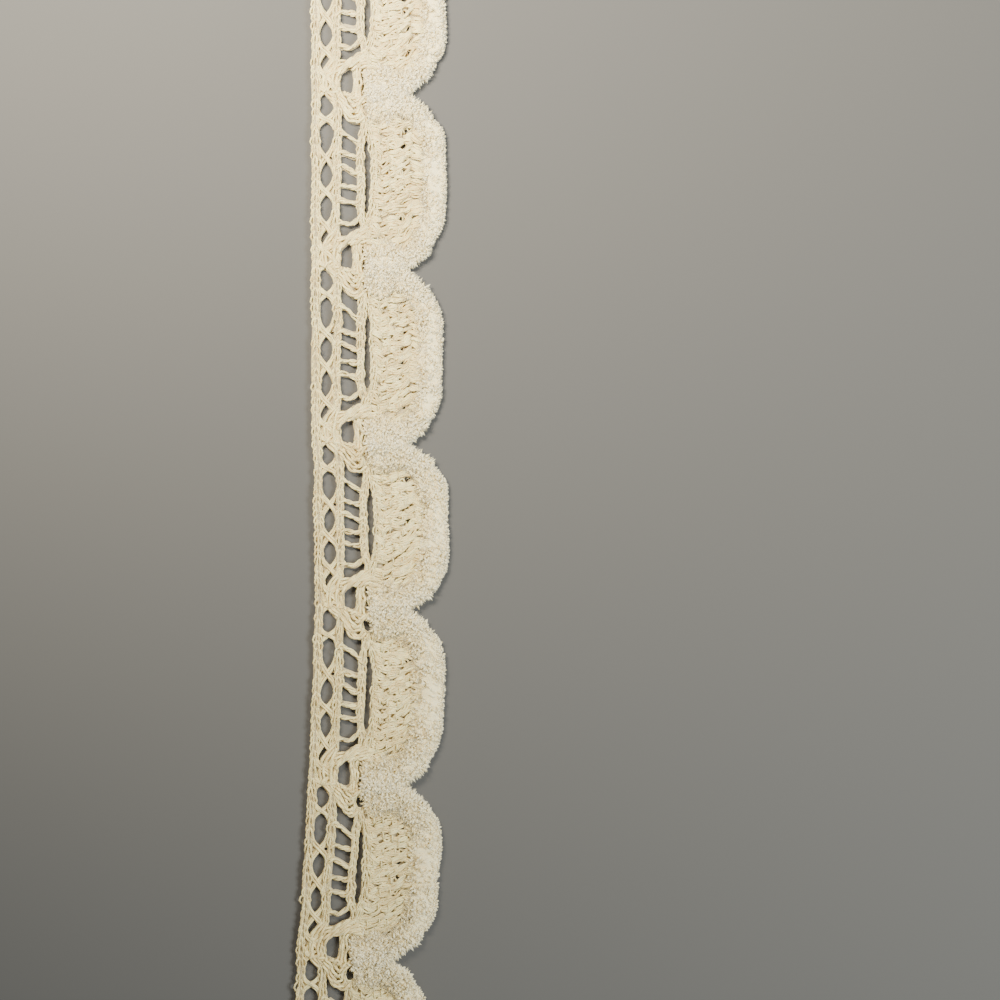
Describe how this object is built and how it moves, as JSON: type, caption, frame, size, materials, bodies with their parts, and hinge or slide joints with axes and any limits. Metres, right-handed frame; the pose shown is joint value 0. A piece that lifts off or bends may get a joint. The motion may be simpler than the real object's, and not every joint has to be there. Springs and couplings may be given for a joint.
{
  "type": "scalloped lace trim",
  "caption": "Flat cut length of knitted cotton lace trim with an open heading, scalloped bodies and a white chenille edging.",
  "frame": {"origin": "middle of the length and of the width, on the surface that the trim lies on", "axes": "+Y along the trim, up the picture; +X toward the scallops; +Z out of its face"},
  "size_m": [0.0384, 0.285, 0.0032],
  "materials": {
    "cotton": "unbleached cotton yarn, knitted, matt",
    "chenille": "off-white chenille pile, soft and matt"
  },
  "bodies": {
    "root": {"cotton_ground": "cotton", "chenille_edging": "chenille"}
  },
  "joints": []
}
